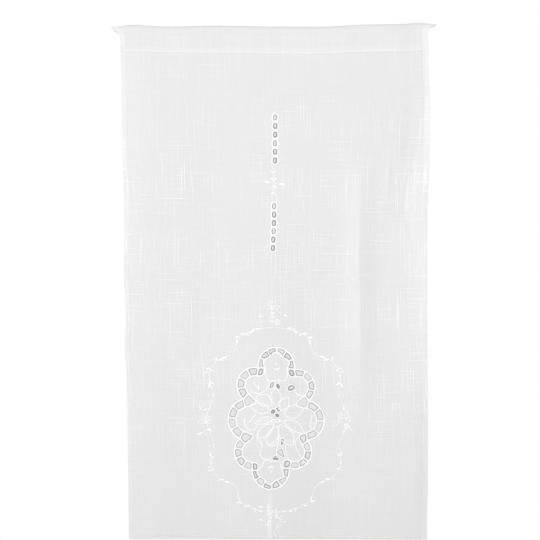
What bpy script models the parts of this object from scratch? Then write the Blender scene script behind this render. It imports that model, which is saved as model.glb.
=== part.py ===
"""A semi-sheer curtain panel with a rod pocket and cutwork, hanging in soft folds.

The cloth is seen face on along +Y, with its width along X and its drop down -Z.
The origin is at the middle of the pocket's top edge, where the panel hangs from its rod; the edge
waves a few millimetres above and below it.
"""

import math
from collections import namedtuple

import bmesh
import bpy
from mathutils import Vector

MM = 0.001

# Sizes of the cloth
CLOTH_WIDTH = 600 * MM
CLOTH_DROP = 998 * MM
CLOTH_THICKNESS = 1.2 * MM
SIDE_HEM = 9 * MM
BOTTOM_HEM = 7 * MM
HEM_THICKNESS = 2 * CLOTH_THICKNESS
SEAM_GAP = 0.3 * MM

# The pocket hangs a little unevenly: where its top edge and its seam lie, from left to right
HeadingPoint = namedtuple("HeadingPoint", "across top seam")
HEADING = (
    HeadingPoint(-0.300, 0.0012, -0.0520),
    HeadingPoint(-0.204, -0.0031, -0.0540),
    HeadingPoint(-0.120, -0.0015, -0.0549),
    HeadingPoint(0.070, -0.0043, -0.0567),
    HeadingPoint(0.190, 0.0009, -0.0529),
    HeadingPoint(0.245, 0.0018, -0.0518),
    HeadingPoint(0.300, 0.0059, -0.0488),
)

# How far each side edge has swung in from the cloth's flat width, going down
EdgePoint = namedtuple("EdgePoint", "height left_inset right_inset")
SIDE_EDGES = (
    EdgePoint(-0.050, 0.0000, 0.0000),
    EdgePoint(-0.150, 0.0020, -0.0030),
    EdgePoint(-0.240, 0.0035, -0.0025),
    EdgePoint(-0.380, 0.0080, 0.0025),
    EdgePoint(-0.480, 0.0060, 0.0040),
    EdgePoint(-0.560, 0.0100, 0.0030),
    EdgePoint(-0.620, 0.0085, 0.0025),
    EdgePoint(-0.730, 0.0135, 0.0010),
    EdgePoint(-0.900, 0.0150, 0.0012),
    EdgePoint(-1.000, 0.0160, 0.0040),
)
BOTTOM_SLANT = 4 * MM

# Soft folds of the hanging cloth: each runs from its top to its foot, and stands forward by its rise
Fold = namedtuple("Fold", "name top_across top_height foot_across foot_height spread rise")
FOLDS = (
    Fold("long ridge", 0.169, -0.230, 0.166, -0.800, 0.025, 0.0060),
    Fold("hollow beside the ridge", 0.214, -0.200, 0.212, -0.780, 0.030, -0.0030),
    Fold("edge flap, upper arm", 0.306, -0.100, 0.290, -0.420, 0.022, 0.0060),
    Fold("edge flap, lower arm", 0.290, -0.330, 0.304, -0.640, 0.020, 0.0050),
    Fold("hollow inside the flap", 0.272, -0.110, 0.246, -0.400, 0.016, -0.0040),
    Fold("soft ridge on the left", -0.205, -0.120, -0.170, -0.900, 0.055, 0.0030),
    Fold("hollow left of the middle", -0.105, -0.180, -0.120, -0.640, 0.045, -0.0020),
    Fold("ridge by the right hem", 0.272, -0.640, 0.276, -1.040, 0.022, 0.0035),
)

# Slow waves across the whole width, nothing at the seam and full at the hem
Wave = namedtuple("Wave", "length phase rise")
WAVES = (Wave(0.340, 2.6, 0.0050), Wave(0.215, 2.1, 0.0022))

# The pocket's section: how far the outer face stands from the middle plane at each depth
PocketPoint = namedtuple("PocketPoint", "depth half_width")
POCKET_DEPTH = 52 * MM
POCKET_SECTION = (
    PocketPoint(0.0, 0.0),
    PocketPoint(0.9 * MM, 2.7 * MM),
    PocketPoint(3.4 * MM, 4.6 * MM),
    PocketPoint(9.0 * MM, 5.8 * MM),
    PocketPoint(17.0 * MM, 6.2 * MM),
    PocketPoint(28.0 * MM, 6.0 * MM),
    PocketPoint(39.0 * MM, 4.4 * MM),
    PocketPoint(POCKET_DEPTH, 1.6 * MM),
)
# The pocket's top corners are drawn out to points, and the pull dies away down and along the pocket
EAR_REACH = {"left": 18 * MM, "right": 15 * MM}
EAR_DEPTH = {"left": 24 * MM, "right": 14 * MM}
EAR_RUN = 34 * MM
EAR_DROOP = {"left": 6.0 * MM, "right": 4.5 * MM}

# The cutwork medallion: a ring of round lobes, anticlockwise from the top. Each lobe has a band of
# panes between its outer and inner outline, and a kite-shaped pane in the valley before the next lobe.
Lobe = namedtuple("Lobe", "name across up radius band panes valley_reach")
LOBES = (
    Lobe("top", 1.8 * MM, 99.0 * MM, 36.0 * MM, 12.0 * MM, 6, 17 * MM),
    Lobe("upper left", -42.9 * MM, 60.5 * MM, 35.5 * MM, 16.0 * MM, 4, 31 * MM),
    Lobe("middle left", -56.1 * MM, -5.5 * MM, 40.9 * MM, 16.0 * MM, 4, 32 * MM),
    Lobe("lower left", -49.3 * MM, -68.2 * MM, 35.6 * MM, 15.5 * MM, 4, 18 * MM),
    Lobe("bottom", -12.0 * MM, -104.0 * MM, 37.2 * MM, 12.5 * MM, 6, 20 * MM),
    Lobe("lower right", 36.8 * MM, -69.0 * MM, 33.0 * MM, 14.0 * MM, 4, 21 * MM),
    Lobe("middle right", 55.9 * MM, -8.0 * MM, 39.5 * MM, 15.5 * MM, 4, 31 * MM),
    Lobe("upper right", 43.6 * MM, 57.7 * MM, 34.0 * MM, 14.0 * MM, 4, 17 * MM),
)
MEDALLION_ACROSS = -2 * MM
MEDALLION_HEIGHT = -763 * MM
PETAL_SWELL = 3.0 * MM
PETALS_ROUND_A_LOBE = 5
PETALLED_LOBES = ("top", "bottom")
CUT_MARGIN = 1.6 * MM
STEPS_ALONG_A_PANE = 2

# Small panes inside the medallion, between the petals
Eyelet = namedtuple("Eyelet", "name across up width height turn corners")
EYELETS = (
    Eyelet("throat, right", 3.4 * MM, 14.5 * MM, 12.0 * MM, 14.6 * MM, 12, 3),
    Eyelet("throat, left", -7.3 * MM, 10.3 * MM, 10.4 * MM, 8.6 * MM, 28, 5),
    Eyelet("throat, below", 1.0 * MM, 2.8 * MM, 9.6 * MM, 7.0 * MM, -28, 5),
    Eyelet("arch, left", -8.6 * MM, 61.5 * MM, 7.5 * MM, 14.5 * MM, -34, 6),
    Eyelet("arch, right", 3.2 * MM, 59.6 * MM, 6.0 * MM, 11.0 * MM, 20, 6),
    Eyelet("scroll eye", 29.4 * MM, 55.6 * MM, 15.0 * MM, 10.0 * MM, 22, 8),
    Eyelet("stem, upper", 11.4 * MM, -48.8 * MM, 6.2 * MM, 14.0 * MM, -10, 6),
    Eyelet("stem, middle", 8.4 * MM, -70.4 * MM, 16.5 * MM, 27.3 * MM, 33, 3),
    Eyelet("stem, left", -2.6 * MM, -80.8 * MM, 18.6 * MM, 11.4 * MM, 172, 3),
)

# Two ladders of panes down the middle of the cloth, one above the other
Ladder = namedtuple("Ladder", "name first_height pitch top_across foot_across")
LADDERS = (
    Ladder("upper ladder", -180.0 * MM, 16.8 * MM, -1.0 * MM, -1.9 * MM),
    Ladder("lower ladder", -353.4 * MM, 16.2 * MM, -3.2 * MM, -4.7 * MM),
)
LADDER_PANES = 6
LADDER_PANE_WIDTH = 8.4 * MM
LADDER_PANE_HEIGHT = 11.8 * MM
LADDER_CORNER = 1.8 * MM

# How finely the cloth is divided, as runs of equal columns or rows. The panel and the pocket share
# their columns, so they meet evenly along the seam.
Run = namedtuple("Run", "start end count")
COLUMNS = (
    Run(-CLOTH_WIDTH / 2, -CLOTH_WIDTH / 2 + SIDE_HEM, 1),
    Run(-CLOTH_WIDTH / 2 + SIDE_HEM, -CLOTH_WIDTH / 2 + EAR_RUN, 3),
    Run(-CLOTH_WIDTH / 2 + EAR_RUN, 0.125, 15),
    Run(0.125, CLOTH_WIDTH / 2 - EAR_RUN, 12),
    Run(CLOTH_WIDTH / 2 - EAR_RUN, CLOTH_WIDTH / 2 - SIDE_HEM, 3),
    Run(CLOTH_WIDTH / 2 - SIDE_HEM, CLOTH_WIDTH / 2, 1),
)
HEM_SHARE = BOTTOM_HEM / CLOTH_DROP
PANEL_ROWS = (Run(0.0, 0.55, 24), Run(0.55, 1.0 - HEM_SHARE, 14), Run(1.0 - HEM_SHARE, 1.0, 1))
CUTTER_REACH = 60 * MM

CLOTH_COLOUR = (0.86, 0.86, 0.85, 1.0)
CLOTH_ROUGHNESS = 0.9


def eased(share):
    """A share from 0 to 1, with a soft start and end."""
    share = min(max(share, 0.0), 1.0)
    return share * share * (3 - 2 * share)


def read_table(rows, key, at, column):
    """The value of a column at a place between two rows of a table sorted by key."""
    ordered = sorted(rows, key=lambda row: getattr(row, key))
    for low, high in zip(ordered, ordered[1:]):
        if at <= getattr(high, key):
            span = getattr(high, key) - getattr(low, key)
            share = eased((at - getattr(low, key)) / span)
            return getattr(low, column) * (1 - share) + getattr(high, column) * share
    return getattr(ordered[-1], column)


def stops(runs):
    """All the places where the runs' columns or rows lie."""
    places = [runs[0].start]
    for run in runs:
        step = (run.end - run.start) / run.count
        places += [run.start + step * i for i in range(1, run.count + 1)]
    return places


def fold_rise(fold, across, height):
    """How far one fold stands forward at a place on the cloth."""
    run = (fold.foot_height - fold.top_height)
    share = (height - fold.top_height) / run
    if not 0 < share < 1:
        return 0.0
    middle = fold.top_across + (fold.foot_across - fold.top_across) * share
    fade = math.sin(math.pi * share) ** 0.7
    return fold.rise * fade * math.exp(-(((across - middle) / fold.spread) ** 2))


def forward(across, height):
    """How far the cloth stands forward of the middle plane at a place on it."""
    seam = read_table(HEADING, "across", across, "seam")
    loose = eased((seam - height) / (CLOTH_DROP * 0.8))
    near_seam = eased((seam - height) / 0.05)
    waves = sum(w.rise * math.sin(math.tau * across / w.length + w.phase) for w in WAVES)
    return loose * waves + near_seam * sum(fold_rise(f, across, height) for f in FOLDS)


def side_edges(height):
    """Where the cloth's left and right edges hang at a height."""
    left = -CLOTH_WIDTH / 2 + read_table(SIDE_EDGES, "height", height, "left_inset")
    right = CLOTH_WIDTH / 2 - read_table(SIDE_EDGES, "height", height, "right_inset")
    return left, right


def hung(across, height):
    """The place in space of a point on the flat cloth."""
    left, right = side_edges(height)
    x = left + (right - left) * (across / CLOTH_WIDTH + 0.5)
    return Vector((x, -forward(across, height), height))


def inset(outline, margin):
    """An anticlockwise outline drawn in by a margin on every side."""
    drawn_in = []
    count = len(outline)
    for i in range(count):
        before, here, after = outline[i - 1], outline[i], outline[(i + 1) % count]
        arriving = (here - before).normalized()
        leaving = (after - here).normalized()
        bisector = (arriving.orthogonal() + leaving.orthogonal()).normalized()
        stretch = max(bisector.dot(arriving.orthogonal()), 0.35)
        drawn_in.append(here + bisector * (margin / stretch))
    return drawn_in


def lobe_middle(lobe):
    return Vector((lobe.across, lobe.up))


def meeting_point(lobe, other):
    """Where two lobes' outlines cross on the outside of the medallion."""
    start, end = lobe_middle(lobe), lobe_middle(other)
    apart = (end - start).length
    along = (apart**2 + lobe.radius**2 - other.radius**2) / (2 * apart)
    aside = math.sqrt(lobe.radius**2 - along**2)
    direction = (end - start) / apart
    foot = start + direction * along
    crossings = [foot + direction.orthogonal() * aside, foot - direction.orthogonal() * aside]
    return max(crossings, key=lambda point: point.length)


def inner_radius(lobe, angle):
    """The inner outline of a lobe's band, which swells with petals on some lobes."""
    if lobe.name not in PETALLED_LOBES:
        return lobe.radius - lobe.band
    outwards = math.atan2(lobe.up, lobe.across)
    return lobe.radius - lobe.band + PETAL_SWELL * math.cos(PETALS_ROUND_A_LOBE * (angle - outwards))


def on_lobe(lobe, radius, angle):
    return lobe_middle(lobe) + Vector((math.cos(angle), math.sin(angle))) * radius


def angle_to(lobe, point):
    away = point - lobe_middle(lobe)
    return math.atan2(away.y, away.x)


def lobe_panes(lobe, start, end):
    """The panes of one lobe, between the angles where its neighbours' outlines cross its own."""
    if end < start:
        end += math.tau
    step = (end - start) / lobe.panes
    outlines = []
    for i in range(lobe.panes):
        angles = [start + step * (i + j / STEPS_ALONG_A_PANE) for j in range(STEPS_ALONG_A_PANE + 1)]
        outer = [on_lobe(lobe, lobe.radius, a) for a in angles]
        inner = [on_lobe(lobe, inner_radius(lobe, a), a) for a in reversed(angles)]
        outlines.append(outer + inner)
    return outlines


def valley_pane(lobe, following, valley):
    """The kite-shaped pane that reaches inwards from where two lobes meet."""
    first = on_lobe(lobe, lobe.radius - lobe.band, angle_to(lobe, valley))
    second = on_lobe(following, following.radius - following.band, angle_to(following, valley))
    towards = ((first + second) / 2 - valley).normalized()
    return [valley, second, valley + towards * lobe.valley_reach, first]


def eyelet_pane(eyelet):
    """A small pane with a few corners, turned to lie between two petals."""
    turn = math.radians(eyelet.turn)
    outline = []
    for i in range(eyelet.corners):
        angle = math.tau * (i + 0.5) / eyelet.corners + math.pi / 2
        x = math.cos(angle) * eyelet.width / 2
        y = math.sin(angle) * eyelet.height / 2
        turned = Vector((x * math.cos(turn) - y * math.sin(turn), x * math.sin(turn) + y * math.cos(turn)))
        outline.append(turned + Vector((eyelet.across, eyelet.up)))
    return outline


def medallion_panes():
    """The outlines of all the medallion's panes, around its own middle."""
    outlines = []
    for i, lobe in enumerate(LOBES):
        before, following = LOBES[i - 1], LOBES[(i + 1) % len(LOBES)]
        start = meeting_point(before, lobe)
        end = meeting_point(lobe, following)
        cells = lobe_panes(lobe, angle_to(lobe, start), angle_to(lobe, end))
        cells.append(valley_pane(lobe, following, end))
        outlines += [inset(cell, CUT_MARGIN) for cell in cells]
    return outlines + [eyelet_pane(eyelet) for eyelet in EYELETS]


def ladder_panes(ladder):
    """The panes of one ladder, each an upright oblong with cut corners."""
    outlines = []
    half_width, half_height = LADDER_PANE_WIDTH / 2, LADDER_PANE_HEIGHT / 2
    for i in range(LADDER_PANES):
        share = i / (LADDER_PANES - 1)
        across = ladder.top_across * (1 - share) + ladder.foot_across * share
        height = ladder.first_height - ladder.pitch * i
        corners = (
            (half_width, half_height - LADDER_CORNER),
            (half_width - LADDER_CORNER, half_height),
            (LADDER_CORNER - half_width, half_height),
            (-half_width, half_height - LADDER_CORNER),
            (-half_width, LADDER_CORNER - half_height),
            (LADDER_CORNER - half_width, -half_height),
            (half_width - LADDER_CORNER, -half_height),
            (half_width, LADDER_CORNER - half_height),
        )
        outlines.append([Vector((across + x, height + z)) for x, z in corners])
    return outlines


def all_panes():
    """Every pane's outline on the flat cloth, as its place across and its height."""
    middle = Vector((MEDALLION_ACROSS, MEDALLION_HEIGHT))
    outlines = [[middle + point for point in outline] for outline in medallion_panes()]
    for ladder in LADDERS:
        outlines += ladder_panes(ladder)
    return outlines


def cloth_material():
    material = bpy.data.materials.new("white slub voile")
    material.use_nodes = True
    shader = material.node_tree.nodes["Principled BSDF"]
    shader.inputs["Base Color"].default_value = CLOTH_COLOUR
    shader.inputs["Roughness"].default_value = CLOTH_ROUGHNESS
    shader.inputs["Metallic"].default_value = 0.0
    return material


def add_object(name, mesh, collection):
    piece = bpy.data.objects.new(name, mesh)
    collection.objects.link(piece)
    return piece


def grid_mesh(name, columns, rows, place):
    """A grid whose vertices are moved to place(column, row), given as values of its two lists."""
    cells = bmesh.new()
    bmesh.ops.create_grid(cells, x_segments=len(columns) - 1, y_segments=len(rows) - 1, size=0.5)
    for vertex in cells.verts:
        column = round((vertex.co.x + 0.5) * (len(columns) - 1))
        row = round((vertex.co.y + 0.5) * (len(rows) - 1))
        vertex.co = place(columns[column], rows[row])
    mesh = bpy.data.meshes.new(name)
    return cells, mesh


def finish_mesh(cells, mesh):
    for face in cells.faces:
        face.smooth = True
    cells.to_mesh(mesh)
    cells.free()


def panel_height(across, share):
    """The height of the panel's cloth at a share of the way from its seam to its lower edge."""
    seam = read_table(HEADING, "across", across, "seam") - SEAM_GAP
    foot = -CLOTH_DROP - BOTTOM_SLANT * eased(across / CLOTH_WIDTH + 0.5)
    return seam + (foot - seam) * share


def window_cutter(collection):
    """One mesh of upright prisms, a prism for each pane, that cuts the windows out of the cloth."""
    curve = bpy.data.curves.new("window outlines", "CURVE")
    curve.dimensions = "2D"
    curve.fill_mode = "BOTH"
    curve.extrude = CUTTER_REACH
    for outline in all_panes():
        spline = curve.splines.new("POLY")
        spline.points.add(len(outline) - 1)
        spline.use_cyclic_u = True
        for point, place in zip(spline.points, outline):
            hanging = hung(place.x, place.y)
            point.co = (hanging.x, hanging.z, 0.0, 1.0)
    flat = add_object("window outlines", curve, collection)
    flat.rotation_euler.x = math.pi / 2
    bpy.context.view_layer.update()
    mesh = bpy.data.meshes.new_from_object(flat.evaluated_get(bpy.context.evaluated_depsgraph_get()))
    prisms = bmesh.new()
    prisms.from_mesh(mesh)
    bmesh.ops.remove_doubles(prisms, verts=prisms.verts, dist=0.01 * MM)
    bmesh.ops.recalc_face_normals(prisms, faces=prisms.faces)
    prisms.to_mesh(mesh)
    prisms.free()
    cutter = add_object("window_cutter", mesh, collection)
    cutter.matrix_world = flat.matrix_world
    cutter.hide_render = True
    cutter.display_type = "WIRE"
    bpy.data.objects.remove(flat)
    return cutter


def build_panel(collection, cutters, material):
    """The cloth below the pocket, thicker along its hems, with its windows cut through."""
    columns, rows = stops(COLUMNS), stops(PANEL_ROWS)
    hem_places = []

    def place(across, share):
        return hung(across, panel_height(across, share))

    cells, mesh = grid_mesh("panel", columns, rows, place)
    if cells.faces[:][0].normal.y > 0:
        bmesh.ops.reverse_faces(cells, faces=cells.faces)
    cells.verts.ensure_lookup_table()
    for vertex in cells.verts:
        left, right = side_edges(vertex.co.z)
        beside_hem = min(vertex.co.x - left, right - vertex.co.x) < 1.3 * SIDE_HEM
        at_foot = vertex.co.z < -CLOTH_DROP + BOTTOM_HEM * 0.8
        if beside_hem or at_foot:
            hem_places.append(vertex.index)
    finish_mesh(cells, mesh)
    panel = add_object("panel", mesh, collection)
    panel.data.materials.append(material)
    hems = panel.vertex_groups.new(name="hems")
    hems.add(hem_places, 1.0, "REPLACE")
    shell = panel.modifiers.new("cloth thickness", "SOLIDIFY")
    shell.thickness = HEM_THICKNESS
    shell.offset = -1.0
    shell.use_even_offset = True
    shell.vertex_group = hems.name
    shell.thickness_vertex_group = CLOTH_THICKNESS / HEM_THICKNESS
    cut = panel.modifiers.new("windows", "BOOLEAN")
    cut.operation = "DIFFERENCE"
    cut.object = window_cutter(cutters)
    return panel


def pocket_ring():
    """The pocket's section as (forward, depth), down the front from the top edge and up the back."""
    front = [(point.half_width, point.depth) for point in POCKET_SECTION]
    back = [(-half_width, depth) for half_width, depth in reversed(front[1:])]
    return front + back + [front[0]]


def pocket_place(across, ring_point):
    """A point of the pocket's outer face, with its top corners drawn out to points."""
    half_width, depth = ring_point
    side = "left" if across < 0 else "right"
    pulled = eased((abs(across) - CLOTH_WIDTH / 2 + EAR_RUN) / EAR_RUN)
    pull = pulled**2 * (1 - eased(depth / EAR_DEPTH[side]))
    reach = EAR_REACH[side] * pull
    top = read_table(HEADING, "across", across, "top") - EAR_DROOP[side] * pull
    seam = read_table(HEADING, "across", across, "seam")
    height = top + (seam - top) * depth / POCKET_DEPTH
    return Vector((across + math.copysign(reach, across), -half_width, height))


def build_rod_pocket(collection, material):
    """The flat tube at the top of the cloth that the rod goes through, open at both ends."""
    columns, ring = stops(COLUMNS), pocket_ring()
    cells, mesh = grid_mesh("rod_pocket", columns, ring, pocket_place)
    bmesh.ops.remove_doubles(cells, verts=cells.verts, dist=0.01 * MM)
    bmesh.ops.recalc_face_normals(cells, faces=cells.faces)
    front_face = min(cells.faces, key=lambda face: face.calc_center_median().y)
    if front_face.normal.y > 0:
        bmesh.ops.reverse_faces(cells, faces=cells.faces)
    finish_mesh(cells, mesh)
    pocket = add_object("rod_pocket", mesh, collection)
    pocket.data.materials.append(material)
    shell = pocket.modifiers.new("cloth thickness", "SOLIDIFY")
    shell.thickness = CLOTH_THICKNESS
    shell.offset = -1.0
    shell.use_even_offset = True
    return pocket


def main():
    for leftover in list(bpy.data.objects):
        bpy.data.objects.remove(leftover)
    curtain = bpy.data.collections.new("curtain panel")
    cutters = bpy.data.collections.new("cutters")
    bpy.context.scene.collection.children.link(curtain)
    bpy.context.scene.collection.children.link(cutters)
    material = cloth_material()
    build_panel(curtain, cutters, material)
    build_rod_pocket(curtain, material)


main()
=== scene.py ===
"""The looks of a white slub voile curtain panel: its cloth, hems, rod pocket, cutwork and thread work.

Everything is in metres in the model's own frame: the cloth is seen face on along +Y and its width
runs along X. The origin is at the middle of the pocket's top edge, where the panel hangs from its
rod; the edge waves a few millimetres above and below it.
"""

import math
from collections import namedtuple
from functools import partial

import bmesh
import bpy
from mathutils import Matrix, Vector
from mathutils.geometry import delaunay_2d_cdt


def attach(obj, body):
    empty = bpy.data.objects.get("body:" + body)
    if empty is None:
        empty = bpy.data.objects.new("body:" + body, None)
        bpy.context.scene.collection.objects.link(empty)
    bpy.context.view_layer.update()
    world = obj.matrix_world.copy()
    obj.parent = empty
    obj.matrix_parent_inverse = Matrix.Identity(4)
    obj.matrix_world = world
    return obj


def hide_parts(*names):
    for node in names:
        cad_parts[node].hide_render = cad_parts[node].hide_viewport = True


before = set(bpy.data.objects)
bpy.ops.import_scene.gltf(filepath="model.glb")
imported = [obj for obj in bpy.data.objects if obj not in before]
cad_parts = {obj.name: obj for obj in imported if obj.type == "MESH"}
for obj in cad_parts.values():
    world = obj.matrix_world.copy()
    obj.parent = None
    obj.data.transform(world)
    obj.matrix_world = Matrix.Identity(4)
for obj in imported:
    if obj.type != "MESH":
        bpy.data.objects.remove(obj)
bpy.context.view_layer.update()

MM = 0.001


def table(columns, rows, in_mm=""):
    """Rows with named columns. Those named in in_mm are written in millimetres and kept in metres."""
    Row = namedtuple("Row", columns)
    named = [Row(*row) for row in rows]
    return [row._replace(**{key: getattr(row, key) * MM for key in in_mm.split()}) for row in named]


# The photograph's framing: how much of the object one pixel holds, and where the origin lies in it
PHOTO_PIXELS = 540
PIXEL_SIZE = 1.948 * MM
ORIGIN_PIXEL_ACROSS = 274.5
ORIGIN_PIXEL_DOWN = 25.0
LENS_MM = 100
SENSOR_MM = 36

# Sizes of the cloth
CLOTH_WIDTH = 600 * MM
HALF_WIDTH = CLOTH_WIDTH / 2
CLOTH_DROP = 998 * MM
BOTTOM_SLANT = 4 * MM
BOTTOM_HEM = 3.5 * MM
LEFT_HEM = 9 * MM
RIGHT_HEM = 12 * MM
LAYER_GAP = 0.45 * MM
TUCK_IN = 1.5 * MM
PANEL_MIDDLE = 0.6 * MM
SEAM_LIFT = 1.0 * MM
SEAM_LIFT_RUN = 30 * MM
LEFT_HEM_LINE = -HALF_WIDTH + LEFT_HEM
RIGHT_HEM_LINE = HALF_WIDTH - RIGHT_HEM

# The heading hangs a little unevenly: where its top edge and its seam lie, from left to right
HEADING = table("across top seam", (
    (-0.300, 0.0012, -0.0520),
    (-0.204, -0.0031, -0.0540),
    (-0.120, -0.0015, -0.0549),
    (0.070, -0.0043, -0.0567),
    (0.190, 0.0009, -0.0529),
    (0.245, 0.0018, -0.0518),
    (0.300, 0.0059, -0.0488),
))

# How far each side edge has swung in from the cloth's flat width, going down
SIDE_EDGES = table("height left_inset right_inset", (
    (-0.050, 0.0000, 0.0000),
    (-0.150, 0.0020, -0.0030),
    (-0.240, 0.0035, -0.0025),
    (-0.380, 0.0080, 0.0025),
    (-0.480, 0.0060, 0.0040),
    (-0.560, 0.0100, 0.0030),
    (-0.620, 0.0085, 0.0025),
    (-0.730, 0.0135, 0.0010),
    (-0.900, 0.0150, 0.0012),
    (-1.000, 0.0160, 0.0040),
))

# Folds of the hanging cloth: each runs from its top to its foot, and stands forward by its rise
FOLD_COLUMNS = "name top_across top_height foot_across foot_height spread rise"
FOLDS = table(FOLD_COLUMNS, (
    ("long ridge", 0.169, -0.230, 0.166, -0.800, 0.025, 0.0060),
    ("hollow beside the ridge", 0.214, -0.200, 0.212, -0.780, 0.030, -0.0030),
    ("edge flap, upper arm", 0.306, -0.100, 0.290, -0.420, 0.022, 0.0060),
    ("edge flap, lower arm", 0.290, -0.330, 0.304, -0.640, 0.020, 0.0050),
    ("hollow inside the flap", 0.272, -0.110, 0.246, -0.400, 0.016, -0.0040),
    ("soft ridge on the left", -0.205, -0.120, -0.170, -0.900, 0.055, 0.0030),
    ("hollow left of the middle", -0.105, -0.180, -0.120, -0.640, 0.045, -0.0020),
    ("ridge by the right hem", 0.272, -0.640, 0.276, -1.040, 0.022, 0.0035),
))

FOLD_REACH = 4
FOLD_FADE = 0.7
FOLDS_START_RUN = 50 * MM

# Fine creases, too small for the solid: the same columns, in the cloth's own sizes
CREASES = table(FOLD_COLUMNS, (
    ("long ridge's line", 0.1675, -0.300, 0.1655, -0.700, 0.0050, 0.0012),
    ("long ridge's steep side", 0.167, -0.200, 0.165, -0.700, 0.0140, 0.0009),
    ("nick by the long ridge", 0.206, -0.170, 0.202, -0.250, 0.0040, 0.0008),
    ("second nick", 0.2225, -0.255, 0.2195, -0.345, 0.0036, 0.0028),
    ("flap's line, upper", 0.293, -0.130, 0.252, -0.395, 0.0072, -0.0042),
    ("flap's line, lower", 0.252, -0.345, 0.276, -0.430, 0.0050, -0.0026),
    ("pucker in the flap", 0.276, -0.300, 0.270, -0.420, 0.0045, 0.0010),
    ("pucker below the flap", 0.268, -0.420, 0.272, -0.560, 0.0045, 0.0010),
    ("pressed fold under the medallion", -0.0160, -0.900, -0.0160, -1.090, 0.0050, 0.0009),
    ("pressed fold over the medallion", 0.0010, -0.440, 0.0000, -0.640, 0.0060, 0.0004),
))

# Slow waves across the whole width, nothing at the seam and full at the hem
WAVES = table("length phase rise", ((0.340, 2.6, 0.0050), (0.215, 2.1, 0.0022)))
WAVES_RUN = CLOTH_DROP * 0.8

# The pocket's section: how far the outer face stands from the middle plane at each depth
POCKET_DEPTH = 52 * MM
POCKET_SECTION = table("depth half_width", (
    (0.0, 0.0),
    (0.9, 2.7),
    (3.4, 4.6),
    (9.0, 5.8),
    (17.0, 6.2),
    (28.0, 6.0),
    (39.0, 4.4),
    (52.0, 0.7),
), in_mm="depth half_width")
POCKET_ROWS = (0.0, 0.35, 0.9, 2.0, 3.4, 6.0, 9.0, 13.0, 17.0, 22.0, 28.0, 33.0, 39.0, 45.0, 52.0)
ALLOWANCE_TOP = 39.5 * MM
ALLOWANCE_FOOT = 51 * MM
EAR_REACH = {"left": 18 * MM, "right": 15 * MM}
EAR_DEPTH = {"left": 24 * MM, "right": 14 * MM}
EAR_RUN = 34 * MM
EAR_DROOP = {"left": 6.0 * MM, "right": 4.5 * MM}

# The cutwork medallion: a ring of round lobes, anticlockwise from the top. Each lobe has a band of
# panes between its outer and inner outline, and a kite-shaped pane in the valley before the next lobe.
LOBES = table("name across up radius band panes valley_reach", (
    ("top", 1.8, 99.0, 36.0, 12.0, 6, 17),
    ("upper left", -42.9, 60.5, 35.5, 16.0, 4, 31),
    ("middle left", -56.1, -5.5, 40.9, 16.0, 4, 32),
    ("lower left", -49.3, -68.2, 35.6, 15.5, 4, 18),
    ("bottom", -12.0, -104.0, 37.2, 12.5, 6, 20),
    ("lower right", 36.8, -69.0, 33.0, 14.0, 4, 21),
    ("middle right", 55.9, -8.0, 39.5, 15.5, 4, 31),
    ("upper right", 43.6, 57.7, 34.0, 14.0, 4, 17),
), in_mm="across up radius band valley_reach")
MEDALLION = Vector((-2 * MM, -763 * MM))
PETAL_SWELL = 3.0 * MM
PETALS_ROUND_A_LOBE = 5
PETALLED_LOBES = {"top": 7 * MM, "bottom": -5 * MM}
CUT_MARGIN = 1.6 * MM
STEPS_ALONG_A_PANE = 4
STEPS_ALONG_A_LOBE = 14
LEAST_CORNER_SHARE = 0.35

# Small panes inside the medallion, between the petals
EYELETS = table("name across up width height turn corners", (
    ("throat, right", 3.4, 14.5, 12.0, 14.6, 12, 3),
    ("throat, left", -7.3, 10.3, 10.4, 8.6, 28, 5),
    ("throat, below", 1.0, 2.8, 9.6, 7.0, -28, 5),
    ("arch, left", -8.6, 61.5, 7.5, 14.5, -34, 6),
    ("arch, right", 3.2, 59.6, 6.0, 11.0, 20, 6),
    ("scroll eye", 29.4, 55.6, 15.0, 10.0, 22, 8),
    ("stem, upper", 11.4, -48.8, 6.2, 14.0, -10, 6),
    ("stem, middle", 8.4, -70.4, 16.5, 27.3, 33, 3),
    ("stem, left", -2.6, -80.8, 18.6, 11.4, 172, 3),
), in_mm="across up width height")

# Two ladders of panes down the middle of the cloth, one above the other
LADDERS = table("name first_height pitch top_across foot_across", (
    ("upper ladder", -180.0, 16.8, -1.0, -1.9),
    ("lower ladder", -353.4, 16.2, -3.2, -4.7),
), in_mm="first_height pitch top_across foot_across")
LADDER_PANES = 6
LADDER_PANE_WIDTH = 8.4 * MM
LADDER_PANE_HEIGHT = 11.8 * MM
LADDER_CORNER = 1.8 * MM

# How much of each side is cut off where an outline's corners are rounded
CORNER_CUT = 0.22
EYELET_CORNER_CUT = 0.12

# Flower petals drawn in outline round the medallion's throat: base, direction, length, width and bend
PETALS = table("name across up turn length width bend veined", (
    ("upper", -2, 22, 84, 34, 22, 0.10, False),
    ("upper left", -9, 23, 146, 36, 24, 0.10, False),
    ("left", -11, 12, 171, 44, 20, -0.10, False),
    ("left leaf", -6, -5, 178, 38, 13, 0.26, True),
    ("lower left", -5, -14, 215, 44, 21, 0.05, False),
    ("lower, left of the stem", 1, -17, 247, 43, 21, -0.06, False),
    ("lower, right of the stem", 6, -15, 300, 50, 27, 0.05, False),
    ("right, drooping", 12, -9, 348, 50, 19, -0.32, False),
    ("right", 14, 4, 14, 42, 26, 0.05, False),
    ("upper right", 7, 10, 62, 34, 17, -0.05, False),
    ("across the throat", -14, -9, 4, 24, 5, 0.0, False),
), in_mm="across up length width")
PETAL_STEPS = 14
VEIN_START = 0.25
VEIN_END = 0.78
VEIN_SHARE = 0.7

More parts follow.
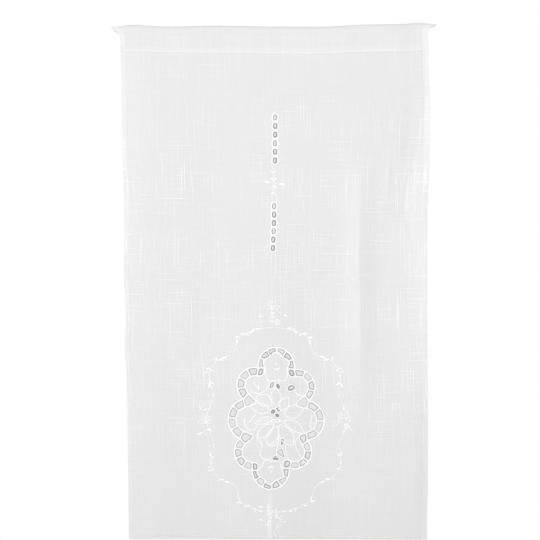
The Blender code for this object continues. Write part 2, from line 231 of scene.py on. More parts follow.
# A satin crescent with a short bar over it, in the two petalled lobes
CRESCENT_START = 200
CRESCENT_STEP = 14
CRESCENT_POINTS = 11
CRESCENT_RADIUS = 7 * MM
CRESCENT_BAR = 8 * MM

# Scrolls in the side lobes: each line bends one way for its first arc, then on or back for its second
SCROLLS = table("name across up turn first_radius first_sweep second_radius second_sweep", (
    ("lower left lobe", -41, -44, 0, 13, -125, 12, 175),
    ("lower left lobe, inner", -20, -47, 262, 9, 110, 14, 50),
    ("middle left lobe", -38, -16, 262, 13, -150, 22, -35),
    ("middle left lobe, upper finger", -40, 4, 190, 14, 60, 8, -70),
    ("upper left lobe", -18, 74, 300, 20, -135, 30, -20),
    ("upper left lobe, vein", -46, 69, 296, 60, 12, 30, 16),
    ("upper left lobe, side vein", -35, 63, 262, 30, 12, 30, 10),
    ("upper right lobe", 36, 53, 280, 17, 100, 24, 24),
    ("middle right lobe", 70, -26, 130, 16, -70, 10, 60),
    ("beside the stem", 4, -34, 276, 60, -24, 40, 30),
    ("beyond the stem", 18, -54, 262, 50, 30, 60, 14),
    ("lower right lobe", 42, -41, 228, 20, 62, 90, 26),
), in_mm="across up first_radius second_radius")
ARC_STEPS = 12

# A quarter of the wreath's vine, mirrored into the other three, as shares of its half width and height
WREATH_QUARTER = table("across up", (
    (0.03, 1.00),
    (0.32, 0.965),
    (0.54, 0.875),
    (0.55, 0.765),
    (0.62, 0.695),
    (0.82, 0.650),
    (0.95, 0.535),
    (0.96, 0.420),
    (0.89, 0.260),
    (0.97, 0.120),
    (1.02, 0.010),
))
WREATH_MIDDLE = Vector((-5 * MM, -769 * MM))
WREATH_HALF_WIDTH = 136 * MM
WREATH_HALF_HEIGHT = 180.5 * MM
WREATH_RIGHT_SWELL = 11 * MM
QUARTERS = ((1, 1), (1, -1), (-1, -1), (-1, 1))

# Satin leaves on each quarter's vine: how far along from the crown, which way off the vine, how long
LEAF_SPOTS = table("along lean length", (
    (0.07, 14, 13),
    (0.12, -26, 13),
    (0.15, 160, 8),
    (0.2, 36, 12),
    (0.21, -140, 8),
    (0.245, 8, 16),
    (0.27, -52, 12),
    (0.43, 5, 16),
    (0.52, -140, 13),
    (0.54, 130, 9),
    (0.61, 56, 10),
    (0.625, -95, 9),
    (0.64, 75, 8),
    (0.65, -10, 10),
    (0.71, -32, 12),
    (0.715, 30, 12),
    (0.8, 24, 8),
    (0.9, -14, 9),
), in_mm="length")
LOWER_LEAVES_SHARE = 0.85
LEAF_SWING = 9
LEAF_SWING_STEPS = (1.7, 2.9)
LEAF_STRETCH = 0.15
LEAF_STRETCH_STEPS = (2.3, 1.9)

# Sprigs: a short curved stem with pairs of small leaves, one large leaf or an open flower at its tip
SPRIGS = table("name across up turn length pairs tip_leaf petals bend", (
    ("crown, middle", -8, -584, 88, 32, 3, 0, 4, 0.06),
    ("crown, second stem", 0, -586, 66, 16, 2, 0, 0, 0.06),
    ("crown, left", -24, -569, 168, 3, 0, 9, 0, 0.0),
    ("crown, right", -1, -553, 306, 16, 0, 12, 0, 0.30),
    ("left side, flower", -144, -778, 92, 3, 0, 0, 6, 0.0),
    ("left side, above", -136, -746, 200, 4, 0, 9, 0, 0.0),
    ("left side, far above", -149, -752, 135, 2, 0, 9, 0, 0.0),
    ("left side, below", -139, -789, 196, 12, 0, 13, 0, 0.10),
    ("left side, towards the middle", -147, -787, 350, 4, 0, 12, 0, 0.0),
    ("left side, foot", -148, -794, 320, 22, 0, 8, 0, -0.45),
    ("right side, flower", 135, -770, 70, 3, 0, 0, 3, 0.0),
    ("right side, bud", 131, -776, 150, 10, 0, 0, 2, 0.0),
    ("right side, foot", 133, -776, 310, 16, 2, 9, 0, 0.10),
    ("foot, stem", -14, -936, 268, 54, 5, 9, 0, 0.04),
    ("foot, left", -15, -940, 166, 12, 1, 12, 0, 0.10),
    ("foot, low left", -17, -974, 138, 14, 1, 10, 0, 0.10),
    ("foot, right", -9, -946, 350, 16, 1, 10, 0, 0.10),
    ("foot, low right", -7, -954, 342, 20, 2, 9, 0, -0.20),
    ("foot, bud", -5, -976, 332, 4, 0, 0, 2, 0.0),
    ("ladder, upper", -3, -308, 94, 38, 2, 0, 0, 0.06),
    ("ladder, lower", -3, -308, 265, 34, 2, 9, 0, -0.06),
    ("ladder, leaf to the left", -6, -307, 174, 4, 0, 14, 0, 0.0),
    ("ladder, leaf to the right", 0, -309, 356, 4, 0, 14, 0, 0.0),
), in_mm="across up length tip_leaf")
SPRIG_STEPS = 8
PAIRS_ALONG = 6
PAIR_SPREAD = 46
PAIR_CLOSING = 5
PAIR_SHRINKING = 0.08
LEAF_SHAPE = 0.30
LEAF_SET_OFF = 0.55
LEAF_SHOULDER = 0.3
LEAF_TAPER = 0.62
LEAF_HEIGHT = 1.1 * MM
LEAF_LIFT = 0.1 * MM
SMALL_LEAF_LENGTH = 8.0 * MM
FLOWER_PETAL_LENGTH = 17.0 * MM
FLOWER_PETAL_WIDTH = 7.5 * MM
FLOWER_SPREAD = 150

# Threads: width and height of each kind of stitching
SATIN_WIDTH = 3.0 * MM
SATIN_HEIGHT = 0.7 * MM
INNER_LINE_WIDTH = 2.55 * MM
BAR_WIDTH = 2.5 * MM
LADDER_BORDER_WIDTH = 2.7 * MM
LADDER_BORDER_GROWTH = 2.8 * MM
EYELET_RING_WIDTH = 1.8 * MM
EYELET_RING_GROWTH = 1.5 * MM
STEM_WIDTH = 2.1 * MM
CRESCENT_WIDTH = STEM_WIDTH * 1.9
CRESCENT_BAR_WIDTH = STEM_WIDTH * 1.4
VINE_WIDTH = 1.15 * MM
FLOWER_LINE_WIDTH = VINE_WIDTH * 0.9
STEM_HEIGHT = 0.5 * MM
# Painted shade round the panes' rims, drawn as a dark grey cord: its width and height, how much more of the
# small panes it fills, how uneven it is, and how far it is shifted
RIM_WIDTH = 0.85 * MM
RIM_HEIGHT = 0.4 * MM
SMALL_PANE_RIM_GROWTH = 8.0 * MM
SMALL_PANE_ROUND = 60 * MM
RIM_INSET = 1.0 * MM
RIM_UNEVENNESS = 0.4
RIM_WIDTH_STEP = 2.1
RIM_SHIFT = 0.6 * MM
RIM_SHIFT_TURN = 140
RIM_SHIFT_SPREAD = 55
RIM_SHIFT_STEP = 2.4
CORD_STEP = 1.6 * MM
CORD_SIDES = 8
TAPER_LEAST = 0.08
TAPER_ROUNDNESS = 0.75

# Slub yarns: how wide and long the thick places are on the cloth, how rare and how strong
SLUBS = table("width length from_share strength seed", (
    (2.2, 125, 0.62, 1.0, 1.0),
    (2.0, 55, 0.63, 0.7, 5.0),
    (80, 2.2, 0.65, 0.9, 7.0),
    (36, 2.0, 0.64, 0.6, 9.0),
), in_mm="width length")

SLUB_SOFTNESS = 0.13
SLUB_PATCHES = table("width length seed", ((110, 140, 3.0),), in_mm="width length")
FADE_COLUMNS = "along start end first last"
SLUB_FADES = table(FADE_COLUMNS, (
    ("up", -0.30, -0.10, 1.0, 0.4),
    ("up", -0.92, -0.72, 0.25, 1.0),
    ("patches", 0.35, 0.62, 0.25, 1.0),
))

# Slow bands down and across the cloth, and clouds over it
BANDS = table("width length weight seed", (
    (6, 500, 0.65, 11.0),
    (400, 6, 0.60, 13.0),
    (60, 90, 0.85, 17.0),
), in_mm="width length")
BANDS_RANGE = (0.70, 1.40)
BANDS_PALE = 0.045
BANDS_DENSITY = 0.012
SLUB_DENSITY = 0.2
LOW_SHADE = (-0.98, -0.76, -0.07, 0.0)

# Where the panel lies doubled, or its yarns are drawn together, a paler band towards the right hem,
# and a painted highlight on the long ridge's lit flank: each patch fades across the cloth, up it or
# above its slanting foot
HEM_SOFTNESS = 0.8 * MM
PANEL_LAYERS = table("patch " + FADE_COLUMNS, (
    ("right hem", "across", RIGHT_HEM_LINE, RIGHT_HEM_LINE + HEM_SOFTNESS, 0.0, 1.0),
    ("left hem", "across", LEFT_HEM_LINE - HEM_SOFTNESS, LEFT_HEM_LINE, 1.0, 0.0),
    ("rolled foot", "above foot", BOTTOM_HEM - 0.4 * MM, BOTTOM_HEM, 0.4, 0.0),
    ("pressed fold", "across", -0.0220, -0.0196, 0.0, 0.7),
    ("pressed fold", "across", -0.0124, -0.0100, 1.0, 0.0),
    ("pressed fold", "up", -0.920, -0.900, 1.0, 0.0),
    # paler and denser towards the right hem
    ("drawn together on the right", "across", 0.225, RIGHT_HEM_LINE, 0.0, 0.45),
    ("drawn together on the right", "up", -0.30, -0.22, 1.0, 0.0),
    ("drawn together on the right", "up", -0.82, -0.68, 0.0, 1.0),
    ("drawn together on the left", "across", LEFT_HEM_LINE, -0.225, 0.3, 0.0),
    # painted highlight: the long ridge's flank that faces the light is made paler and denser
    ("beside the long ridge", "across", 0.115, 0.145, 0.0, 1.0),
    ("beside the long ridge", "across", 0.163, 0.168, 0.24, 0.0),
    ("beside the long ridge", "up", -0.72, -0.60, 0.0, 1.0),
    ("beside the long ridge", "up", -0.34, -0.26, 1.0, 0.0),
))

# The pocket's front has a third layer: the allowance turned under above its seam, which lies closer
# the nearer it is to the stitching, and the side hems that run up into the pocket. The allowance's
# paling is partly painted light, which offsets the shade on the pocket's foot where its face slopes down
POCKET_LAYERS = table("patch " + FADE_COLUMNS, (
    # third layer, and partly painted light: paler to offset the shade where the pocket's face slopes down
    ("allowance", "up", -0.0408, -0.0400, 1.0, 0.0),
    ("allowance", "up", -POCKET_DEPTH, -0.0400, 0.95, 0.25),
    ("right hem", "across", RIGHT_HEM_LINE, RIGHT_HEM_LINE + HEM_SOFTNESS, 0.0, 1.0),
    ("left hem", "across", LEFT_HEM_LINE - HEM_SOFTNESS, LEFT_HEM_LINE, 1.0, 0.0),
))

# The cloths: how much one layer and a doubled place hide, how pale the cloth is, and what doubling,
# the painted light on some patches and slubs add to that
VOILES = table("name density doubled_density pale doubled_pale slub_pale", (
    ("white slub voile", 0.72, 0.92, 0.18, 0.34, 0.55),
    ("white slub voile, doubled heading", 0.93, 0.97, 0.31, 0.13, 0.07),
))

# The threads, with the pitch of the ribs that show, each of which stands for several stitches
COTTONS = table("name pale shade rib roughness", (
    ("white satin-stitch cotton", "FDFDFD", "F5F5F5", 2.827, 0.5),
    ("white stem-stitch cotton, one fine strand", "FBFBFB", "F1F1F1", 3.770, 0.6),
    ("white sewing thread", "FFFFFF", "F4F4F4", 1.885, 0.6),
    # not a thread: the grey of the painted shade round the panes' rims
    ("cut edge in shade", "A0A0A0", "929292", 3.770, 0.8),
), in_mm="rib")
THREAD_SPOTS = 4 * MM

# The cloth's ribs are drawn coarser than its real yarns too, at a pitch that shows. A wave texture of
# scale one turns through this many radians over a metre.
RIB_PITCH = 5.655 * MM
RIB_RELIEF = 0.25
WAVE_TURNS = 20

# The grey pool behind the cloth reaches to just inside its edges, as seen from the camera
POOL_LEAN = 0.016
POOL_FADES = table(FADE_COLUMNS, (
    ("leaning", -0.300, -0.297, 0.0, 1.0),
    ("across", 0.296, 0.299, 1.0, 0.0),
    ("up", -0.005, -0.002, 1.0, 0.0),
    ("up", -1.004, -1.001, 0.0, 1.0),
))
LEAST_DEPTH = 0.001
SURROUND_LIGHT = 0.60
LAMPS = table("name place aim size power", (
    ("side light, left", (-2.5, -1.5, 0.4), (0.0, 0.0, -0.4), 1.2, 24.0),
    ("soft light in front, by the heading", (0.25, -1.8, -0.05), (0.0, 0.0, -0.1), 1.0, 14.5),
))
FLOOR_HEIGHT = -1.35
FLOOR_RADIUS = 1.5

# How finely the cloth is divided, and its sewing
SHEET_CELL = 3.6 * MM
POCKET_CELL = 4 * MM
HEM_CELL = 3 * MM
SAME_PLACE = 1e-6
SEWING_PITCH = 2.6 * MM
STITCH_LENGTH = 2.0 * MM
STITCH_WIDTH = 0.45 * MM
STITCH_HEIGHT = 0.35 * MM
STITCH_LIFT = 0.15 * MM
STITCH_FROM_EDGE = 1 * MM
STITCHING_START = 2 * MM
STITCHING_RUN = 25 * MM
SEAM_STITCH_ABOVE = 1.6 * MM

Thread = namedtuple("Thread", "path width height closed taper", defaults=(SATIN_HEIGHT, False, False))
Line = namedtuple("Line", "across up turn length bend")
Mark = namedtuple("Mark", "place turn length width")


def eased(share):
    """A share from 0 to 1, with a soft start and end."""
    share = min(max(share, 0.0), 1.0)
    return share * share * (3 - 2 * share)


def read_table(rows, key, at, column):
    """The value of a column at a place between two rows of a table sorted by key."""
    ordered = sorted(rows, key=lambda row: getattr(row, key))
    for low, high in zip(ordered, ordered[1:]):
        if at <= getattr(high, key):
            span = getattr(high, key) - getattr(low, key)
            share = eased((at - getattr(low, key)) / span)
            return getattr(low, column) * (1 - share) + getattr(high, column) * share
    return getattr(ordered[-1], column)


def fold_rise(fold, across, height):
    """How far one fold stands forward at a place on the cloth."""
    run = fold.foot_height - fold.top_height
    share = (height - fold.top_height) / run
    if not 0 < share < 1:
        return 0.0
    middle = fold.top_across + (fold.foot_across - fold.top_across) * share
    if abs(across - middle) > FOLD_REACH * fold.spread:
        return 0.0
    fade = math.sin(math.pi * share) ** FOLD_FADE
    return fold.rise * fade * math.exp(-(((across - middle) / fold.spread) ** 2))


def seam_height(across):
    return read_table(HEADING, "across", across, "seam")


def foot_height(across):
    return -CLOTH_DROP - BOTTOM_SLANT * eased(across / CLOTH_WIDTH + 0.5)


def forward(across, height):
    """How far the cloth stands forward of the middle plane at a place on it."""
    below_seam = seam_height(across) - height
    loose = eased(below_seam / WAVES_RUN)
    near_seam = eased(below_seam / FOLDS_START_RUN)
    waves = sum(w.rise * math.sin(math.tau * across / w.length + w.phase) for w in WAVES)
    folds = sum(fold_rise(f, across, height) for f in FOLDS + CREASES)
    drawn_up = SEAM_LIFT * (1 - eased(below_seam / SEAM_LIFT_RUN))
    return loose * waves + near_seam * folds + drawn_up


def hung(across, height, lift=0.0):
    """The place in space of a point of the flat cloth, or of a point lifted off its front."""
    left = -HALF_WIDTH + read_table(SIDE_EDGES, "height", height, "left_inset")
    right = HALF_WIDTH - read_table(SIDE_EDGES, "height", height, "right_inset")
    x = left + (right - left) * (across + HALF_WIDTH) / CLOTH_WIDTH
    return Vector((x, PANEL_MIDDLE - forward(across, height) - lift, height))


def inset(outline, margin):
    """An anticlockwise outline drawn in by a margin on every side."""
    drawn_in = []
    count = len(outline)
    for i in range(count):
        before, here, after = outline[i - 1], outline[i], outline[(i + 1) % count]
        arriving = (here - before).normalized()
        leaving = (after - here).normalized()
        bisector = (arriving.orthogonal() + leaving.orthogonal()).normalized()
        stretch = max(bisector.dot(arriving.orthogonal()), LEAST_CORNER_SHARE)
        drawn_in.append(here + bisector * (margin / stretch))
    return drawn_in


def rounded(outline, rounds=1, share=CORNER_CUT):
    """A closed outline with a share of each side cut off at its corners, again and again."""
    for _ in range(rounds):
        cut = []
        for i, here in enumerate(outline):
            after = outline[(i + 1) % len(outline)]
            cut.append(here.lerp(after, share))
            cut.append(here.lerp(after, 1 - share))
        outline = cut
    return outline


def lobe_middle(lobe):
    return Vector((lobe.across, lobe.up))


def meeting_point(lobe, other):
    """Where two lobes' outlines cross on the outside of the medallion."""
    start, end = lobe_middle(lobe), lobe_middle(other)
    apart = (end - start).length
    along = (apart**2 + lobe.radius**2 - other.radius**2) / (2 * apart)
    aside = math.sqrt(lobe.radius**2 - along**2)
    direction = (end - start) / apart
    foot = start + direction * along
    crossings = [foot + direction.orthogonal() * aside, foot - direction.orthogonal() * aside]
    return max(crossings, key=lambda point: point.length)


def inner_radius(lobe, angle):
    """The inner outline of a lobe's band, which swells with petals on some lobes."""
    if lobe.name not in PETALLED_LOBES:
        return lobe.radius - lobe.band
    outwards = math.atan2(lobe.up, lobe.across)
    return lobe.radius - lobe.band + PETAL_SWELL * math.cos(PETALS_ROUND_A_LOBE * (angle - outwards))


def on_lobe(lobe, radius, angle):
    return lobe_middle(lobe) + Vector((math.cos(angle), math.sin(angle))) * radius


def angle_to(lobe, point):
    away = point - lobe_middle(lobe)
    return math.atan2(away.y, away.x)


def lobe_span(index):
    """The angles at which a lobe's outline starts and ends, and the place where it ends."""
    lobe = LOBES[index]
    start = angle_to(lobe, meeting_point(LOBES[index - 1], lobe))
    valley = meeting_point(lobe, LOBES[(index + 1) % len(LOBES)])
    end = angle_to(lobe, valley)
    if end < start:
        end += math.tau
    return start, end, valley


def lobe_panes(lobe, start, end):
    """The panes of one lobe, between the angles where its neighbours' outlines cross its own."""
    step = (end - start) / lobe.panes
    outlines = []
    for i in range(lobe.panes):
        angles = [start + step * (i + j / STEPS_ALONG_A_PANE) for j in range(STEPS_ALONG_A_PANE + 1)]
        outer = [on_lobe(lobe, lobe.radius, a) for a in angles]
        inner = [on_lobe(lobe, inner_radius(lobe, a), a) for a in reversed(angles)]
        outlines.append(outer + inner)
    return outlines


def valley_corners(lobe, following, valley):
    """The corners of the kite-shaped pane that reaches inwards from where two lobes meet."""
    first = on_lobe(lobe, lobe.radius - lobe.band, angle_to(lobe, valley))
    second = on_lobe(following, following.radius - following.band, angle_to(following, valley))
    towards = ((first + second) / 2 - valley).normalized()
    return [valley, second, valley + towards * lobe.valley_reach, first]


def eyelet_outline(eyelet, grow=0.0):
    """A small pane's outline, or a larger one round it."""
    turn = math.radians(eyelet.turn)
    outline = []
    for i in range(eyelet.corners):
        angle = math.tau * (i + 0.5) / eyelet.corners + math.pi / 2
        x = math.cos(angle) * (eyelet.width / 2 + grow)
        y = math.sin(angle) * (eyelet.height / 2 + grow)
        turned = Vector((x * math.cos(turn) - y * math.sin(turn), x * math.sin(turn) + y * math.cos(turn)))
        outline.append(turned + Vector((eyelet.across, eyelet.up)))
    return outline


def moved(outline, by=MEDALLION):
    return [by + point for point in outline]


def medallion_panes():
    """The outlines of all the medallion's panes on the flat cloth."""
    outlines = []
    for i, lobe in enumerate(LOBES):
        start, end, valley = lobe_span(i)
        cells = lobe_panes(lobe, start, end)
        cells.append(valley_corners(lobe, LOBES[(i + 1) % len(LOBES)], valley))
        outlines += [rounded(inset(cell, CUT_MARGIN)) for cell in cells]
    outlines += [rounded(eyelet_outline(eyelet), share=EYELET_CORNER_CUT) for eyelet in EYELETS]
    return [moved(outline) for outline in outlines]


def ladder_middles(ladder):
    middles = []
    for i in range(LADDER_PANES):
        share = i / (LADDER_PANES - 1)
        across = ladder.top_across * (1 - share) + ladder.foot_across * share
        middles.append(Vector((across, ladder.first_height - ladder.pitch * i)))
    return middles


def oblong(middle, width, height, corner):
    """An upright oblong with cut corners, anticlockwise."""
    x, z, c = width / 2, height / 2, corner
    upper = ((x, z - c), (x - c, z), (c - x, z), (-x, z - c))
    corners = upper + tuple((-across, -up) for across, up in upper)
    return [middle + Vector(place) for place in corners]


def ladder_panes():
    size = (LADDER_PANE_WIDTH, LADDER_PANE_HEIGHT, LADDER_CORNER)
    return [rounded(oblong(m, *size)) for ladder in LADDERS for m in ladder_middles(ladder)]


def new_piece(name, cells, material):
    """Turns the modelled faces into a shown object of the part."""
    mesh = bpy.data.meshes.new(name)
    for face in cells.faces:
        face.smooth = True
    cells.to_mesh(mesh)
    cells.free()
    piece = bpy.data.objects.new(name, mesh)
    bpy.context.scene.collection.objects.link(piece)
    mesh.materials.append(material)
    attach(piece, "root")
    return piece


def stops(start, end, cell):
    """Evenly spaced places from start to end, no further apart than a cell."""
    count = max(1, math.ceil(abs(end - start) / cell - SAME_PLACE))
    return [start + (end - start) * i / count for i in range(count + 1)]


def build_cloth(material, panes):
    """The panel's one layer of voile on its folds, with every window cut out of it."""
    columns = stops(-HALF_WIDTH, HALF_WIDTH, SHEET_CELL)
    edge = [Vector((x, foot_height(x))) for x in columns]
    edge += [Vector((x, seam_height(x) + TUCK_IN)) for x in reversed(columns)]
    places = list(edge)
    loops = [list(range(len(edge)))]
    for pane in panes:
        loops.append(list(range(len(places), len(places) + len(pane))))
        places += pane
    for x in columns:
        heights = stops(foot_height(x), seam_height(x) + TUCK_IN, SHEET_CELL)
        places += [Vector((x, z)) for z in heights[1:-1]]
    flat_places, _, faces, _, _, sources = delaunay_2d_cdt(places, [], loops, 1, SAME_PLACE, True)
    cells = bmesh.new()
    weave = cells.loops.layers.uv.new("weave")
    corners = [cells.verts.new(hung(p.x, p.y)) for p in flat_places]
    for face, source in zip(faces, sources):
        if list(source) != [0]:
            continue
        new_face = cells.faces.new([corners[i] for i in face])
        for loop, i in zip(new_face.loops, face):
            loop[weave].uv = flat_places[i]
    loose = [v for v in cells.verts if not v.link_faces]
    bmesh.ops.delete(cells, geom=loose, context="VERTS")
    cells.normal_update()
    if sum(face.normal.y for face in cells.faces) > 0:
        bmesh.ops.reverse_faces(cells, faces=cells.faces)
    return new_piece("cloth_panel", cells, material)


def build_strip(name, material, columns, rows, place):
    """A narrow strip of cloth given by place(column, row), with the weave running as in the panel."""
    cells = bmesh.new()
    weave = cells.loops.layers.uv.new("weave")
    grid = [[cells.verts.new(place(c, r)) for r in rows] for c in columns]
    for i in range(len(columns) - 1):
        for j in range(len(rows) - 1):
            face = cells.faces.new((grid[i][j], grid[i + 1][j], grid[i + 1][j + 1], grid[i][j + 1]))
            spots = ((i, j), (i + 1, j), (i + 1, j + 1), (i, j + 1))
            for loop, (ci, ri) in zip(face.loops, spots):
                loop[weave].uv = (columns[ci], rows[ri])
    return new_piece(name, cells, material)


def build_side_hem(name, material, outer, inner):
    """A side hem's turned layers, lying just behind the panel from one place across to another."""
    heights = stops(seam_height(outer), foot_height(outer), SHEET_CELL)
    columns = stops(outer, inner, HEM_CELL)
    return build_strip(name, material, columns, heights, lambda c, r: hung(c, r, -LAYER_GAP))


def build_bottom_hem(material):
    columns = stops(-HALF_WIDTH, HALF_WIDTH, SHEET_CELL)
    shares = stops(0.0, 1.0, 0.5)

    def place(across, share):
        return hung(across, foot_height(across) + BOTTOM_HEM * share, -LAYER_GAP)

    return build_strip("bottom_hem", material, columns, shares, place)


def section_half_width(depth):
    """The pocket's half width at a depth, smoothly between the section's points."""
    low = max((p for p in POCKET_SECTION if p.depth <= depth), key=lambda p: p.depth)
    high = min((p for p in POCKET_SECTION if p.depth >= depth), key=lambda p: p.depth)
    if high.depth == low.depth:
        return low.half_width
    share = (depth - low.depth) / (high.depth - low.depth)
    return low.half_width * (1 - share) + high.half_width * share


def pocket_place(across, side, depth):
    """A point of the pocket's outer face, front or back, with its top corners drawn out to points."""
    end = "left" if across < 0 else "right"
    pulled = eased((abs(across) - HALF_WIDTH + EAR_RUN) / EAR_RUN)
    pull = pulled**2 * (1 - eased(depth / EAR_DEPTH[end]))
    top = read_table(HEADING, "across", across, "top") - EAR_DROOP[end] * pull
    height = top + (seam_height(across) - top) * depth / POCKET_DEPTH
    x = across + math.copysign(EAR_REACH[end] * pull, across)
    return Vector((x, -side * section_half_width(depth), height))


def build_pocket(material):
    """The tube of cloth at the top, its front layer, top fold and back layer in one, sewn at the foot."""
    depths = [depth * MM for depth in POCKET_ROWS]
    rows = [-depth for depth in reversed(depths)] + depths[1:]

    def place(across, row):
        return pocket_place(across, 1 if row <= 0 else -1, abs(row))

    return build_strip("pocket_cloth", material, stops(-HALF_WIDTH, HALF_WIDTH, POCKET_CELL), rows, place)


def build_allowance(material):
    """The seam allowance turned under inside the pocket's front."""
    columns = stops(-HALF_WIDTH, HALF_WIDTH, POCKET_CELL)
    rows = stops(ALLOWANCE_TOP, ALLOWANCE_FOOT, POCKET_CELL)

    def place(across, depth):
        return pocket_place(across, 1, depth) + Vector((0, LAYER_GAP, 0))

    return build_strip("pocket_allowance", material, columns, rows, place)


def evenly(path, closed):
    """A path through the given flat points with evenly spaced points."""
    places = path + [path[0]] if closed else list(path)
    lengths = [(b - a).length for a, b in zip(places, places[1:])]
    total = sum(lengths)
    count = max(2, round(total / CORD_STEP))
    spaced, piece, walked = [], 0, 0.0
    for i in range(count + (0 if closed else 1)):
        target = total * i / count
        while piece < len(lengths) - 1 and walked + lengths[piece] < target:
            walked += lengths[piece]
            piece += 1
        share = (target - walked) / lengths[piece] if lengths[piece] else 0.0
        spaced.append(places[piece].lerp(places[piece + 1], min(max(share, 0.0), 1.0)))
    return spaced


def thread_rings(cells, item):
    """The corners of a thread's oval section at every step along its path."""
    path = evenly(item.path, item.closed)
    count = len(path)
    rings = []
    for i, here in enumerate(path):
        before = path[i - 1] if item.closed or i else here
        after = path[(i + 1) % count] if item.closed or i < count - 1 else here
        along = (after - before).normalized()
        aside = Vector((-along.y, along.x))
        swell = max(math.sin(math.pi * i / (count - 1)), TAPER_LEAST)
        scale = swell**TAPER_ROUNDNESS if item.taper else 1.0
        ring = []
        for k in range(CORD_SIDES):
            turn = math.tau * k / CORD_SIDES
            spot = here + aside * (math.cos(turn) * item.width / 2 * scale)
            lift = math.sin(turn) * item.height * scale
            ring.append(cells.verts.new(hung(spot.x, spot.y, lift)))
        rings.append(ring)
    return rings


def sweep_threads(name, threads, material):
    """Raised stitching: an oval section swept along each path, wrapping the cloth on both sides."""
    cells = bmesh.new()
    weave = cells.loops.layers.uv.new("stitches")
    for item in threads:
        rings = thread_rings(cells, item)
        spans = len(rings) if item.closed else len(rings) - 1
        for i in range(spans):
            first, second = rings[i], rings[(i + 1) % len(rings)]
            for k in range(CORD_SIDES):
                n = (k + 1) % CORD_SIDES
                face = cells.faces.new((first[k], first[n], second[n], second[k]))
                runs = ((i, k), (i, k + 1), (i + 1, k + 1), (i + 1, k))
                for loop, (run, turn) in zip(face.loops, runs):
                    loop[weave].uv = (run * CORD_STEP, item.width * turn / CORD_SIDES)
        if not item.closed:
            cells.faces.new(list(reversed(rings[0])))
            cells.faces.new(rings[-1])
    bmesh.ops.recalc_face_normals(cells, faces=cells.faces)
    return new_piece(name, cells, material)


def arc_points(lobe, radius_at, start, end):
    steps = range(STEPS_ALONG_A_LOBE + 1)
    angles = [start + (end - start) * i / STEPS_ALONG_A_LOBE for i in steps]
    return [on_lobe(lobe, radius_at(a), a) for a in angles]


def medallion_threads():
    """The satin outlines of the medallion: outer line, inner line, and the bars between the panes."""
    threads, outer_line, inner_line = [], [], []
    for i, lobe in enumerate(LOBES):
        start, end, valley = lobe_span(i)
        outer_line += arc_points(lobe, lambda a: lobe.radius, start, end)[:-1]
        inner_line += arc_points(lobe, lambda a: inner_radius(lobe, a), start, end)
        corners = valley_corners(lobe, LOBES[(i + 1) % len(LOBES)], valley)
        inner_line.append(corners[2])
        threads.append(Thread(moved([corners[0], corners[3]]), BAR_WIDTH))
        threads.append(Thread(moved([corners[0], corners[1]]), BAR_WIDTH))
        step = (end - start) / lobe.panes
        for j in range(1, lobe.panes):
            angle = start + step * j
            bar = [on_lobe(lobe, lobe.radius, angle), on_lobe(lobe, inner_radius(lobe, angle), angle)]
            threads.append(Thread(moved(bar), BAR_WIDTH))
    threads.append(Thread(moved(outer_line), SATIN_WIDTH, closed=True))
    threads.append(Thread(moved(rounded(inner_line)), INNER_LINE_WIDTH, closed=True))
    for eyelet in EYELETS:
        ring = rounded(eyelet_outline(eyelet, EYELET_RING_GROWTH), share=EYELET_CORNER_CUT)
        threads.append(Thread(moved(ring), EYELET_RING_WIDTH, closed=True))
    return threads


def ladder_threads():
    """The satin edge round each ladder pane."""
    threads = []
    grow = LADDER_BORDER_GROWTH
    for ladder in LADDERS:
        for middle in ladder_middles(ladder):
            size = (LADDER_PANE_WIDTH + grow, LADDER_PANE_HEIGHT + grow, LADDER_CORNER + grow / 2)
            ring = rounded(oblong(middle, *size))
            threads.append(Thread(ring, LADDER_BORDER_WIDTH, closed=True))
        for above, below in zip(ladder_middles(ladder), ladder_middles(ladder)[1:]):
            half_way = above.lerp(below, 0.5)
            reach = Vector((LADDER_PANE_WIDTH / 2 + grow / 2, 0))
            threads.append(Thread([half_way - reach, half_way + reach], LADDER_BORDER_WIDTH))
    return threads


def painted_shade_rims(panes):
    """Painted shade round each pane's rim, drawn as a dark grey cord; it fills more of the small panes."""
    threads = []
    for i, pane in enumerate(panes):
        # the painted shade is shifted mostly up and to the left, so that more of it shows on the pane's
        # right and lower sides
        shift, _ = heading_to(RIM_SHIFT_TURN + RIM_SHIFT_SPREAD * math.sin(i * RIM_SHIFT_STEP))
        path = moved(inset(pane, RIM_INSET), shift * RIM_SHIFT)
        round_the_pane = sum((b - a).length for a, b in zip(pane, pane[1:] + pane[:1]))
        smallness = max(0.0, 1 - round_the_pane / SMALL_PANE_ROUND)
        width = RIM_WIDTH + SMALL_PANE_RIM_GROWTH * smallness**2
        width *= 1 + RIM_UNEVENNESS * math.sin(i * RIM_WIDTH_STEP)
        threads.append(Thread(path, width, RIM_HEIGHT, closed=True))
    return threads


def heading_to(turn_degrees):
    """The direction of an angle on the flat cloth, and the direction to its left."""
    turn = math.radians(turn_degrees)
    along = Vector((math.cos(turn), math.sin(turn)))
    return along, Vector((-along.y, along.x))


def bent_path(item, start=0.0, reach=1.0, bulge=0.0, steps=PETAL_STEPS):
    """A line along an item's direction, bent and bulged to one side."""
    along, aside = heading_to(item.turn)
    path = []
    for i in range(steps + 1):
        share = start + (reach - start) * i / steps
        sideways = math.sin(math.pi * share) * bulge + item.bend * item.length * share * share
        path.append(Vector((item.across, item.up)) + along * (item.length * share) + aside * sideways)
    return path


def scroll_path(scroll):
    """A line of two arcs, followed step by step from the scroll's start."""
    place, turn = Vector((scroll.across, scroll.up)), scroll.turn
    path = [place]
    arcs = ((scroll.first_radius, scroll.first_sweep), (scroll.second_radius, scroll.second_sweep))
    for radius, sweep in arcs:
        stride = radius * math.radians(abs(sweep)) / ARC_STEPS
        for _ in range(ARC_STEPS):
            turn += sweep / ARC_STEPS
            place = place + heading_to(turn)[0] * stride
            path.append(place)
    return path


